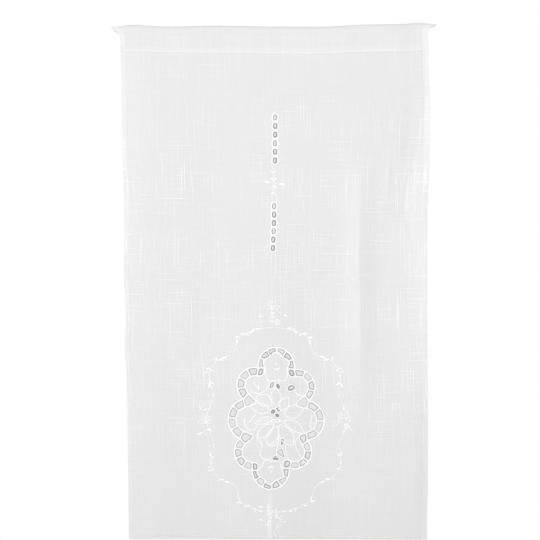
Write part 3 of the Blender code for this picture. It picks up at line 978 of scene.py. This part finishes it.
def petal_threads():
    """The flower's petals, the scrolls and the lobes' inner lines, each drawn as a raised line."""
    threads = []
    for petal in PETALS:
        for side in (-1, 1):
            outline = bent_path(petal, bulge=side * petal.width / 2)
            threads.append(Thread(moved(outline), STEM_WIDTH, STEM_HEIGHT))
        if petal.veined:
            vein = bent_path(petal, VEIN_START, VEIN_END)
            threads.append(Thread(moved(vein), STEM_WIDTH * VEIN_SHARE, STEM_HEIGHT * VEIN_SHARE))
    for scroll in SCROLLS:
        threads.append(Thread(moved(scroll_path(scroll)), STEM_WIDTH, STEM_HEIGHT))
    for i, lobe in enumerate(LOBES):
        if lobe.name in PETALLED_LOBES:
            start, end, _ = lobe_span(i)
            closing = closing_line(lobe, end, start + math.tau)
            threads.append(Thread(moved(closing), STEM_WIDTH, STEM_HEIGHT))
            threads += lobe_flower(lobe)
    return threads


def closing_line(lobe, start, end):
    """The line that closes a petalled lobe towards the medallion's middle, drawn out or in on its way."""
    def radius_at(angle):
        swell = math.sin(math.pi * (angle - start) / (end - start))
        return inner_radius(lobe, angle) + PETALLED_LOBES[lobe.name] * swell

    return arc_points(lobe, radius_at, start, end)


def lobe_flower(lobe):
    """A satin crescent with a short bar over it, in the middle of a petalled lobe."""
    facing = 1 if lobe.up > 0 else -1
    middle = lobe_middle(lobe)
    turns = [CRESCENT_START + CRESCENT_STEP * i for i in range(CRESCENT_POINTS)]
    crescent = [middle + heading_to(turn)[0] * CRESCENT_RADIUS * facing for turn in turns]
    bar = [middle, middle + Vector((0, CRESCENT_BAR * facing))]
    return [
        Thread(moved(crescent), CRESCENT_WIDTH, taper=True),
        Thread(moved(bar), CRESCENT_BAR_WIDTH, taper=True),
    ]


def wreath_quarter(quarter):
    """The vine of one quarter of the wreath, from the crown or the foot to the side."""
    path = []
    swell = WREATH_RIGHT_SWELL if quarter[0] > 0 else 0.0
    for point in WREATH_QUARTER:
        across = WREATH_HALF_WIDTH * point.across + swell * (1 - point.up) ** 3
        reach = Vector((across * quarter[0], WREATH_HALF_HEIGHT * point.up * quarter[1]))
        path.append(WREATH_MIDDLE + reach)
    return path


def vine_threads():
    """The wreath's stem, the sprigs' stems and their flowers, in fine stem stitch."""
    loop = []
    for quarter in QUARTERS:
        part = wreath_quarter(quarter)
        loop += part if quarter[0] * quarter[1] > 0 else part[::-1]
    threads = [Thread(rounded(loop, 2), VINE_WIDTH, STEM_HEIGHT, closed=True)]
    for sprig in SPRIGS:
        stem = bent_path(sprig, steps=SPRIG_STEPS)
        threads.append(Thread(stem, VINE_WIDTH, STEM_HEIGHT))
        for i in range(sprig.petals):
            turn = sprig.turn + FLOWER_SPREAD * (i / (sprig.petals - 1) - 0.5)
            petal = Line(*stem[-1], turn, FLOWER_PETAL_LENGTH, 0.0)
            for side in (-1, 1):
                outline = bent_path(petal, bulge=side * FLOWER_PETAL_WIDTH / 2)
                threads.append(Thread(outline, FLOWER_LINE_WIDTH, STEM_HEIGHT))
    return threads


def leaf_from(foot, turn, length):
    """A leaf whose foot is at a place on a stem, and which points along a turn."""
    out, _ = heading_to(turn)
    return Mark(foot + out * (length * LEAF_SET_OFF), turn, length, length * LEAF_SHAPE)


def heading_of(run):
    """The angle of a run on the flat cloth, in degrees."""
    return math.degrees(math.atan2(run.y, run.x))


def varied(steps, leaf, quarter):
    """A value from -1 to 1 that is never the same for two leaves."""
    return math.sin(steps[0] * leaf + steps[1] * quarter)


def wreath_leaves():
    """The leaves along the wreath, mirrored from quarter to quarter but never quite alike."""
    leaves = []
    for number, quarter in enumerate(QUARTERS):
        share = 1.0 if quarter[1] > 0 else LOWER_LEAVES_SHARE
        vine = evenly(wreath_quarter(quarter), False)
        for i, spot in enumerate(LEAF_SPOTS):
            here = round(spot.along * (len(vine) - 2))
            run = vine[here + 1] - vine[here]
            lean = spot.lean * quarter[0] * quarter[1] + LEAF_SWING * varied(LEAF_SWING_STEPS, i, number)
            length = spot.length * share * (1 + LEAF_STRETCH * varied(LEAF_STRETCH_STEPS, i, number))
            leaves.append(leaf_from(vine[here], heading_of(run) + lean, length))
    return leaves


def sprig_leaves():
    """Each sprig's small leaves, in pairs along its stem, and the large leaf at its tip."""
    leaves = []
    for sprig in SPRIGS:
        stem = bent_path(sprig, steps=SPRIG_STEPS)
        for i in range(sprig.pairs):
            foot = stem[1 + i * PAIRS_ALONG // sprig.pairs]
            length = SMALL_LEAF_LENGTH * (1 - PAIR_SHRINKING * i)
            for side in (-1, 1):
                turn = sprig.turn + side * (PAIR_SPREAD - PAIR_CLOSING * i)
                leaves.append(leaf_from(foot, turn, length))
        if sprig.tip_leaf:
            leaves.append(leaf_from(stem[-1], heading_of(stem[-1] - stem[-2]), sprig.tip_leaf))
    return leaves


def active_mesh_copy():
    """The mesh of the primitive just modelled, taken off the scene."""
    primitive = bpy.context.object
    mesh = primitive.data.copy()
    bpy.data.objects.remove(primitive)
    return mesh


def model_leaf():
    """One satin-stitched leaf, one long, one wide and one high, lying along X and pointed at its ends."""
    bpy.ops.mesh.primitive_uv_sphere_add(segments=8, ring_count=8, radius=0.5, rotation=(0, math.pi / 2, 0))
    bpy.ops.object.transform_apply(location=False, rotation=True, scale=False)
    leaf = bpy.context.object
    bpy.ops.object.mode_set(mode="EDIT")
    for end in (-1, 1):
        bpy.ops.mesh.select_all(action="DESELECT")
        cells = bmesh.from_edit_mesh(leaf.data)
        for vertex in cells.verts:
            vertex.select = vertex.co.x * end > LEAF_SHOULDER
        cells.select_flush(True)
        bmesh.update_edit_mesh(leaf.data)
        bpy.ops.transform.resize(value=(1.0, LEAF_TAPER, LEAF_TAPER), center_override=(0, 0, 0))
    bpy.ops.object.mode_set(mode="OBJECT")
    return active_mesh_copy()


def model_stitch():
    """One machine stitch, one long, lying along X."""
    bpy.ops.mesh.primitive_cylinder_add(
        vertices=6, radius=0.5, depth=1.0, end_fill_type="TRIFAN", rotation=(0, math.pi / 2, 0)
    )
    bpy.ops.object.transform_apply(location=False, rotation=True, scale=False)
    return active_mesh_copy()


def copies_on_cloth(name, master, marks, height, material, lift, on_cloth=hung):
    """Copies of a small shape laid on the cloth, each at a leaf's or a stitch's mark, as one piece."""
    cells = bmesh.new()
    weave = cells.loops.layers.uv.new("stitches")
    for mark in marks:
        before = len(cells.verts)
        cells.from_mesh(master)
        cells.verts.ensure_lookup_table()
        added = cells.verts[before:]
        size = Matrix.Diagonal((mark.length, height, mark.width, 1.0))
        turn = Matrix.Rotation(-math.radians(mark.turn), 4, "Y")
        place = Matrix.Translation(on_cloth(mark.place.x, mark.place.y, lift))
        for face in {face for vertex in added for face in vertex.link_faces}:
            for loop in face.loops:
                loop[weave].uv = (loop.vert.co.x * mark.length, loop.vert.co.z * mark.width)
        bmesh.ops.transform(cells, matrix=place @ turn @ size, verts=added)
    return new_piece(name, cells, material)


def line_of_stitches(start, end):
    """Stitch marks along a straight line on the flat cloth."""
    run = end - start
    count = round(run.length / SEWING_PITCH)
    places = [start.lerp(end, (i + 0.5) / count) for i in range(count)]
    return [Mark(place, heading_of(run), STITCH_LENGTH, STITCH_WIDTH) for place in places]


def sewing_marks():
    """The machine stitching down both side hems and along the lower hem."""
    marks = []
    for across in (LEFT_HEM_LINE - STITCH_FROM_EDGE, RIGHT_HEM_LINE + STITCH_FROM_EDGE):
        top = Vector((across, seam_height(across) - STITCHING_START))
        marks += line_of_stitches(top, Vector((across, foot_height(across) + STITCH_FROM_EDGE)))
    return marks + level_marks(foot_height, BOTTOM_HEM)


def level_marks(height_at, above):
    """Stitch marks from side to side, at a height above an uneven edge."""
    columns = stops(-HALF_WIDTH + STITCHING_START, HALF_WIDTH - STITCHING_START, STITCHING_RUN)
    marks = []
    for first, second in zip(columns, columns[1:]):
        start = Vector((first, height_at(first) + above))
        marks += line_of_stitches(start, Vector((second, height_at(second) + above)))
    return marks


def on_pocket_foot(across, height, lift):
    """The place on the pocket's front of a point just above its seam."""
    depth = POCKET_DEPTH - (height - seam_height(across))
    return pocket_place(across, 1, depth) - Vector((0, lift, 0))


def hex_colour(code):
    """An sRGB hex value as linear red, green, blue and alpha."""
    channels = [int(code[i:i + 2], 16) / 255 for i in (0, 2, 4)]
    linear = [c / 12.92 if c <= 0.04045 else ((c + 0.055) / 1.055) ** 2.4 for c in channels]
    return (*linear, 1.0)


def add_node(tree, kind, inputs, **settings):
    """Adds a node with its settings, fills its inputs with values or links, and gives its outputs."""
    node = tree.nodes.new("ShaderNode" + kind)
    for name, value in settings.items():
        setattr(node, name, value)
    for name, value in inputs.items() if isinstance(inputs, dict) else enumerate(inputs):
        if isinstance(value, bpy.types.NodeSocket):
            tree.links.new(value, node.inputs[name])
        else:
            node.inputs[name].default_value = value
    return node.outputs


def new_material(name):
    """A material without nodes, and what adds nodes to it."""
    material = bpy.data.materials.new(name)
    material.use_nodes = True
    material.node_tree.nodes.clear()
    return material, partial(add_node, material.node_tree)


def weighted(add, start, parts):
    """A start and each part by its weight, added up and held between nothing and one."""
    for value, weight in parts:
        start = add("Math", (value, weight, start), operation="MULTIPLY_ADD", use_clamp=True)[0]
    return start


def faded(add, amount, places, fades):
    """An amount that fades along the cloth: each row gives its shares at its start and its end."""
    for fade in fades:
        share = add("MapRange", (places[fade.along], fade.start, fade.end, fade.first, fade.last))[0]
        amount = add("Math", (amount, share), operation="MULTIPLY")[0]
    return amount


def stretched_noise(add, places, row, detail):
    """Noise whose spots are as wide and as long as the row says."""
    across = add("Math", (places["across"], 1 / row.width), operation="MULTIPLY")[0]
    up = add("Math", (places["up"], 1 / row.length), operation="MULTIPLY")[0]
    place = add("CombineXYZ", (across, up, row.seed))[0]
    inputs = {"Vector": place, "Scale": 1.0, "Detail": detail, "Roughness": 0.5}
    return add("TexNoise", inputs, noise_dimensions="3D")["Fac"]


def slub_streaks(add, places):
    """The thick places of the slub yarns, long ones down the cloth and short ones across it, which
    come in patches and are weaker near the heading and the foot."""
    streaks = 0.0
    for row in SLUBS:
        noise = stretched_noise(add, places, row, 1.0)
        shares = (noise, row.from_share, row.from_share + SLUB_SOFTNESS, 0.0, row.strength)
        streaks = add("Math", (streaks, add("MapRange", shares)[0]), operation="MAXIMUM")[0]
    places["patches"] = stretched_noise(add, places, SLUB_PATCHES[0], 1.0)
    return faded(add, streaks, places, SLUB_FADES)


def soft_bands(add, places):
    """Slow uneven bands down and across the cloth and soft clouds over it, from -1 to 1."""
    total = 0.0
    for row in BANDS:
        noise = stretched_noise(add, places, row, 2.0)
        total = add("Math", (noise, row.weight, total), operation="MULTIPLY_ADD")[0]
    return add("MapRange", (total, *BANDS_RANGE, -1.0, 1.0))[0]


def doubled_and_highlight_places(add, places, layers):
    """How much doubled or bunched cloth shows, with the painted light of some patches: each patch's fades
    together, and the patches added up.
    """
    total = 0.0
    for patch in dict.fromkeys(row.patch for row in layers):
        amount = faded(add, 1.0, places, [row for row in layers if row.patch == patch])
        total = add("Math", (total, amount), use_clamp=True)[0]
    return total


def slub_voile(look, layers):
    """Plain-woven polyester voile with slub yarns: thick places in the yarns show as pale streaks, and
    the open weave lets light through. Where the cloth lies doubled it is paler and hides more; the same
    patches also carry painted light, paler and denser, on the long ridge's lit flank and the pocket's
    allowance. Painted shade darkens the cloth towards its foot. A fine bump from the weave and the slubs
    breaks up the light."""
    material, add = new_material(look.name)
    weave = add("UVMap", (), uv_map="weave")[0]
    across, up, _ = add("SeparateXYZ", (weave,))
    places = {"across": across, "up": up}
    if any(row.along == "above foot" for row in layers):
        slant = BOTTOM_SLANT / CLOTH_WIDTH
        level = add("Math", (up, CLOTH_DROP + HALF_WIDTH * slant))[0]
        places["above foot"] = add("Math", (across, slant, level), operation="MULTIPLY_ADD")[0]
    slubs = slub_streaks(add, places)
    bands = soft_bands(add, places)
    # doubled and bunched cloth, with the painted light of some patches
    doubled = doubled_and_highlight_places(add, places, layers)
    in_shade = add("MapRange", (up, *LOW_SHADE))[0]
    pale = weighted(add, look.pale, (
        (bands, BANDS_PALE), (in_shade, 1.0), (slubs, look.slub_pale), (doubled, look.doubled_pale),
    ))
    colour = add("Mix", {0: pale, 6: hex_colour("D9D9D9"), 7: hex_colour("F9F9F9")}, data_type="RGBA")[2]
    density = weighted(add, look.density, (
        (bands, BANDS_DENSITY), (slubs, SLUB_DENSITY), (doubled, look.doubled_density - look.density),
    ))
    relief = slubs
    for direction in "XY":
        rib = {"Vector": weave, "Scale": math.tau / RIB_PITCH / WAVE_TURNS, "Distortion": 0.0}
        rib = add("TexWave", rib, bands_direction=direction)["Fac"]
        relief = add("Math", (rib, RIB_RELIEF, relief), operation="MULTIPLY_ADD")[0]
    bump = add("Bump", {"Strength": 0.3, "Distance": 0.15 * MM, "Height": relief})[0]
    roughness = add("MapRange", (slubs, 0.0, 1.0, 0.9, 0.75))[0]
    shader = add("BsdfPrincipled", {
        "Base Color": colour, "Roughness": roughness, "Alpha": density, "Normal": bump,
        "Specular IOR Level": 0.25, "Sheen Weight": 0.1,
    })[0]
    add("OutputMaterial", {"Surface": shader})
    return material


def stitched_thread(look):
    """Mercerised embroidery cotton: parallel stitches across the line, with a soft gloss."""
    material, add = new_material(look.name)
    run = add("UVMap", (), uv_map="stitches")[0]
    rib = {"Vector": run, "Scale": math.tau / look.rib / WAVE_TURNS, "Distortion": 0.4, "Detail": 1.0}
    stitches = add("TexWave", rib, bands_direction="X")["Fac"]
    uneven = add("TexNoise", {"Vector": run, "Scale": 1 / THREAD_SPOTS})["Fac"]
    both = add("Math", (stitches, uneven))[0]
    share = add("Math", (both, 0.5), operation="MULTIPLY")[0]
    ends = {6: hex_colour(look.shade), 7: hex_colour(look.pale)}
    colour = add("Mix", {0: share, **ends}, data_type="RGBA")[2]
    bump = add("Bump", {"Strength": 0.4, "Distance": 0.12 * MM, "Height": stitches})[0]
    gloss = add("MapRange", (uneven, 0.3, 0.7, look.roughness - 0.06, look.roughness + 0.06))[0]
    shader = add("BsdfPrincipled", {
        "Base Color": colour, "Roughness": gloss, "Normal": bump,
        "Specular IOR Level": 0.4, "Sheen Weight": 0.2,
    })[0]
    add("OutputMaterial", {"Surface": shader})
    return material


def floor_paint():
    """Matt white paint on a studio floor, with a faint unevenness of tone."""
    material, add = new_material("matt white studio floor")
    place = add("TexCoord", ())["Object"]
    noise = add("TexNoise", {"Vector": place, "Scale": 6.0})["Fac"]
    colour = add("Mix", {0: noise, 6: hex_colour("F2F2F2"), 7: hex_colour("F6F6F6")}, data_type="RGBA")[2]
    shader = add("BsdfPrincipled", {"Base Color": colour, "Roughness": 0.8})[0]
    add("OutputMaterial", {"Surface": shader})
    return material


def add_camera():
    """A level camera straight in front, framed as the photograph is."""
    span = PHOTO_PIXELS * PIXEL_SIZE
    across = (PHOTO_PIXELS / 2 - ORIGIN_PIXEL_ACROSS) * PIXEL_SIZE
    height = -(PHOTO_PIXELS / 2 - ORIGIN_PIXEL_DOWN) * PIXEL_SIZE
    place = (across, -span * LENS_MM / SENSOR_MM, height)
    bpy.ops.object.camera_add(location=place, rotation=(math.radians(90), 0, 0))
    camera = bpy.context.object
    camera.data.lens = LENS_MM
    camera.data.sensor_width = SENSOR_MM
    bpy.context.scene.camera = camera
    return camera


def add_backdrop(camera):
    """A white surround, with a soft grey pool straight behind the cloth that its windows look onto."""
    world = bpy.data.worlds.new("studio surround")
    bpy.context.scene.world = world
    world.use_nodes = True
    world.node_tree.nodes.clear()
    add = partial(add_node, world.node_tree)
    east, north, rise = add("SeparateXYZ", (add("TexCoord", ())["Generated"],))
    depth = add("Math", (north, LEAST_DEPTH), operation="MAXIMUM")[0]
    places = {}
    for name, part, middle in (("across", east, camera.location.x), ("up", rise, camera.location.z)):
        ratio = add("Math", (part, depth), operation="DIVIDE")[0]
        places[name] = add("Math", (ratio, -camera.location.y, middle), operation="MULTIPLY_ADD")[0]
    leaning = (places["up"], POOL_LEAN, places["across"])
    places["leaning"] = add("Math", leaning, operation="MULTIPLY_ADD")[0]
    pool = faded(add, 1.0, places, POOL_FADES)
    seen = add("Mix", {0: pool, 6: hex_colour("FFFFFF"), 7: hex_colour("E6E6E6")}, data_type="RGBA")[2]
    view = add("Background", {"Color": seen, "Strength": 1.0})[0]
    light = add("Background", {"Color": hex_colour("FFFFFF"), "Strength": SURROUND_LIGHT})[0]
    straight = add("LightPath", ())["Is Camera Ray"]
    add("OutputWorld", {"Surface": add("MixShader", (straight, light, view))[0]})


def add_lamps():
    for lamp in LAMPS:
        bpy.ops.object.light_add(type="AREA", location=lamp.place)
        light = bpy.context.object
        light.name = lamp.name
        light.data.size = lamp.size
        light.data.energy = lamp.power
        direction = Vector(lamp.aim) - Vector(lamp.place)
        light.rotation_euler = direction.to_track_quat("-Z", "Y").to_euler()


def add_floor():
    place = (0, 0, FLOOR_HEIGHT)
    bpy.ops.mesh.primitive_circle_add(vertices=64, radius=FLOOR_RADIUS, fill_type="NGON", location=place)
    floor = bpy.context.object
    floor.name = "studio_floor"
    floor.data.materials.append(floor_paint())


def add_studio():
    """The camera and all that stands round the cloth."""
    bpy.ops.object.select_all(action="DESELECT")
    bpy.context.scene.view_settings.view_transform = "Standard"
    camera = add_camera()
    add_backdrop(camera)
    add_lamps()
    add_floor()


def thread_work(panes, stitch, satin, fine, sewing, shade):
    """All the stitching on the panel, each kind as a piece of its own, and the painted shade round the
    panes' rims.
    """
    leaves = wreath_leaves() + sprig_leaves()
    return [
        sweep_threads("medallion_outline", medallion_threads(), satin),
        sweep_threads("ladder_edges", ladder_threads(), satin),
        sweep_threads("petal_outlines", petal_threads(), fine),
        sweep_threads("wreath_vine", vine_threads(), fine),
        sweep_threads("painted_shade_rim_cords", painted_shade_rims(panes), shade),
        copies_on_cloth("satin_leaves", model_leaf(), leaves, LEAF_HEIGHT, satin, LEAF_LIFT),
        copies_on_cloth("sewing_stitches", stitch, sewing_marks(), STITCH_HEIGHT, sewing, STITCH_LIFT),
    ]


def main():
    add_studio()
    voile = slub_voile(VOILES[0], PANEL_LAYERS)
    heading = slub_voile(VOILES[1], POCKET_LAYERS)
    # the last of these is the grey of the painted shade round the panes' rims, not a cotton
    satin, fine, sewing, shade = [stitched_thread(look) for look in COTTONS]
    panes = medallion_panes() + ladder_panes()
    cloth = build_cloth(voile, panes)
    hems = [
        build_side_hem("left_hem", voile, -HALF_WIDTH, LEFT_HEM_LINE),
        build_side_hem("right_hem", voile, HALF_WIDTH, RIGHT_HEM_LINE),
        build_bottom_hem(voile),
    ]
    stitch = model_stitch()
    work = thread_work(panes, stitch, satin, fine, sewing, shade)
    pocket = build_pocket(heading)
    seam = level_marks(seam_height, SEAM_STITCH_ABOVE)
    folded_in = [
        copies_on_cloth("seam_stitches", stitch, seam, STITCH_HEIGHT, sewing, STITCH_LIFT, on_pocket_foot),
        build_allowance(heading),
    ]
    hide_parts("panel")
    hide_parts("rod_pocket")


main()
